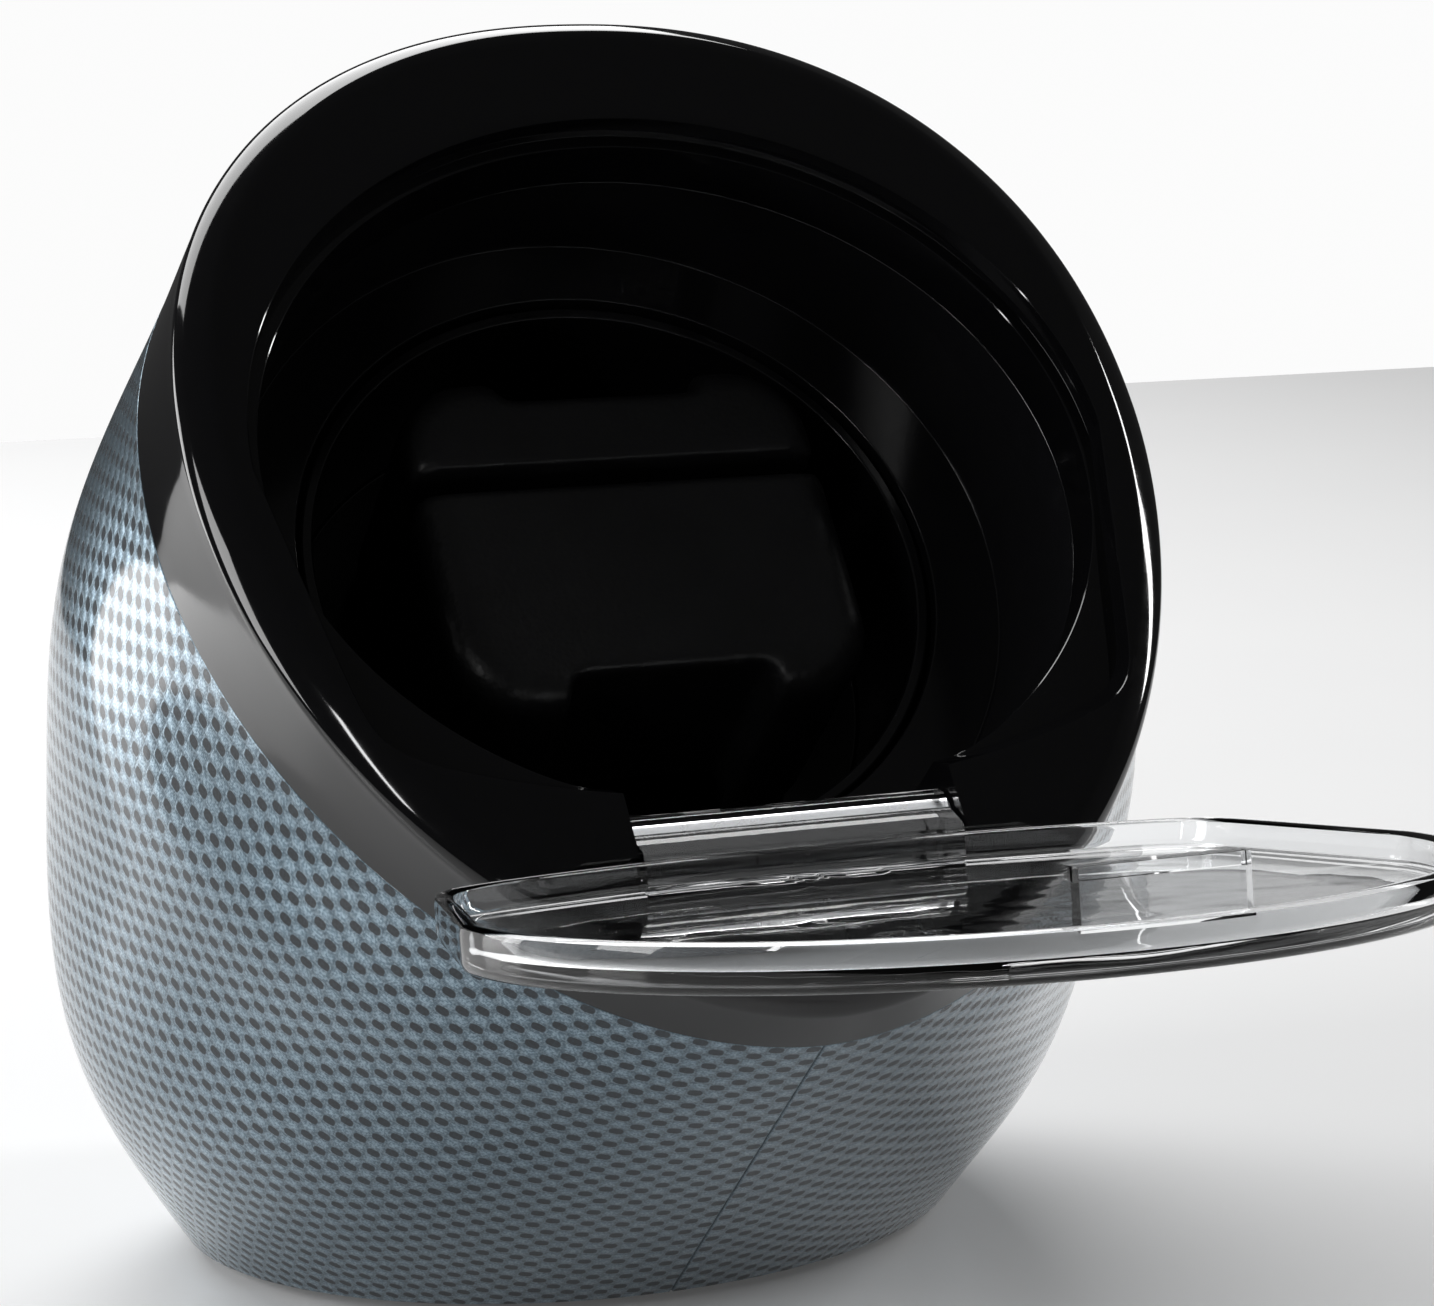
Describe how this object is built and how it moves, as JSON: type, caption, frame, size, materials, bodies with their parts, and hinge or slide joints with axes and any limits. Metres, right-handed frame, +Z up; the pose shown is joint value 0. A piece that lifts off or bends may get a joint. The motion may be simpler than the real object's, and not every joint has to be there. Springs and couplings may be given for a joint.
{
  "type": "watch winder box",
  "caption": "Egg-shaped motorised watch winder with a tilted round mouth, a clear hinged lid, a rotating cup and a removable sprung watch holder.",
  "frame": {"origin": "middle of the footprint, on the surface that the box stands on", "axes": "+Z up, -Y towards the mouth and the open lid, +X to the right seen from the front"},
  "size_m": [0.137, 0.2187, 0.157],
  "materials": {
    "carbon": "plain-weave carbon look under clear gloss lacquer",
    "gloss_black": "piano black, high gloss",
    "well_black": "satin gloss black",
    "black_plastic": "fine texture",
    "clear": "clear polished acrylic",
    "pad_rubber": "matt non-slip",
    "steel": "bright zinc-plated",
    "zinc_plate": "zinc-plated sheet",
    "bronze": "sintered bronze",
    "nylon": "natural nylon",
    "leatherette": "soft black leatherette",
    "knob_grey": "fine texture",
    "board_green": "solder mask",
    "led_lens": "diffuse lens"
  },
  "bodies": {
    "housing": {"carbon_shell_left": "carbon", "carbon_shell_right": "carbon", "front_collar": "gloss_black", "well_liner": "well_black", "base_plate": "black_plastic", "base_pad": "pad_rubber", "base_screws": "steel", "hinge_pin": "steel", "gear_plate": "zinc_plate", "bearing_bush": "bronze", "plate_screws": "steel", "motor_gearbox": "zinc_plate", "motor_can": "zinc_plate", "motor_screws": "steel", "control_panel": "black_plastic", "circuit_board": "board_green", "board_screws": "steel", "panel_screws": "steel", "rotary_switch": "black_plastic", "slide_switch_body": "black_plastic", "power_jack": "black_plastic", "jack_contact": "steel", "power_led": "led_lens"},
    "lid": {"lid": "clear"},
    "turntable": {"cup": "well_black", "drum_gear": "nylon", "drum_shaft": "steel", "retaining_clip": "steel", "thrust_washer": "steel"},
    "pinion": {"motor_pinion": "nylon", "motor_output_shaft": "steel"},
    "holder": {"holder_body": "leatherette", "guide_pins": "steel", "jaw_springs": "steel"},
    "jaw": {"holder_jaw": "leatherette"},
    "knob": {"programme_knob": "knob_grey"},
    "slider": {"slide_switch_knob": "knob_grey"}
  },
  "joints": [
    {"name": "lid_hinge", "type": "hinge", "parent": "housing", "child": "lid", "pos_m": [0, -0.07505, 0.07122], "axis": [1, 0, 0], "range_deg": [-123, 0]},
    {"name": "turntable_spin", "type": "hinge", "parent": "housing", "child": "turntable", "pos_m": [0, -0.01075, 0.08372], "axis": [0, -0.7314, 0.682], "continuous": true},
    {"name": "pinion_spin", "type": "hinge", "parent": "housing", "child": "pinion", "pos_m": [0.01526, -0.01733, 0.04513], "axis": [0, -0.7314, 0.682], "continuous": true},
    {"name": "holder_pull", "type": "slide", "parent": "turntable", "child": "holder", "axis": [0, -0.7314, 0.682], "range_m": [0, 0.035]},
    {"name": "jaw_slide", "type": "slide", "parent": "holder", "child": "jaw", "axis": [0, 0.682, 0.7314], "range_m": [-0.0024, 0], "stiffness_N_per_m": 250, "springref_m": 0.003, "deforming": ["jaw_springs"]},
    {"name": "programme_turn", "type": "hinge", "parent": "housing", "child": "knob", "pos_m": [-0.011, 0.0435, 0.05], "axis": [0, 1, 0], "range_deg": [0, 240]},
    {"name": "direction_slide", "type": "slide", "parent": "housing", "child": "slider", "axis": [1, 0, 0], "range_m": [-0.0022, 0.0022]}
  ],
  "couplings": [
    {"joint": "pinion_spin", "follows": "turntable_spin", "ratio": -5}
  ]
}
